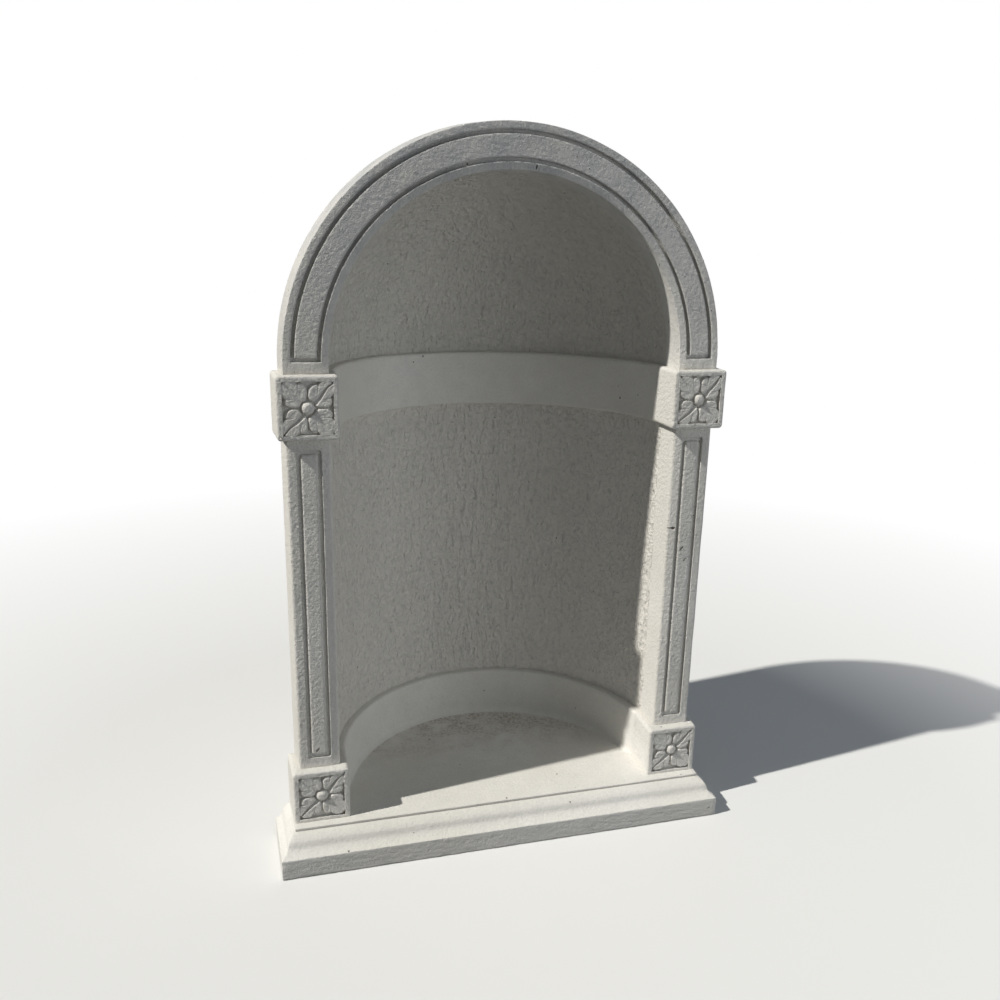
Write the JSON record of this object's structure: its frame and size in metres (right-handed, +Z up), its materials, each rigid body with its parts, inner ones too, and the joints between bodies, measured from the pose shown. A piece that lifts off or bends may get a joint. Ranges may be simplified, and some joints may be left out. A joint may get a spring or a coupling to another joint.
{
  "type": "statue niche",
  "caption": "Free-standing round-arched stone niche with a half-round recess and half dome, on a moulded plinth, to shelter a statue or vase.",
  "frame": {"origin": "on the ground, midway between the shafts, in the plane of their faces", "axes": "+Z up, +Y towards the back of the recess, +X to the right seen from the front"},
  "size_m": [0.802, 0.4179, 1.2045],
  "materials": {
    "cast_stone": "matte fine-grained cast stone, warm off-white",
    "carved_stone": "matte cast stone with soft worn relief",
    "rough_stone": "matte cast stone with a rough stippled face",
    "floor_stone": "matte cast stone, trowelled smooth, with brown dirt at the back"
  },
  "bodies": {
    "root": {"plinth_slab": "cast_stone", "plinth_moulding": "cast_stone", "niche_floor": "floor_stone", "left_base_block": "cast_stone", "right_base_block": "cast_stone", "left_base_rosette": "carved_stone", "right_base_rosette": "carved_stone", "left_shaft": "cast_stone", "right_shaft": "cast_stone", "left_capital_block": "cast_stone", "right_capital_block": "cast_stone", "left_capital_rosette": "carved_stone", "right_capital_rosette": "carved_stone", "arch": "cast_stone", "skirting_right": "cast_stone", "skirting_back": "cast_stone", "skirting_left": "cast_stone", "wall_right": "rough_stone", "wall_back": "rough_stone", "wall_left": "rough_stone", "band_right": "cast_stone", "band_back": "cast_stone", "band_left": "cast_stone", "conch_right": "rough_stone", "conch_back": "rough_stone", "conch_left": "rough_stone"}
  },
  "joints": []
}
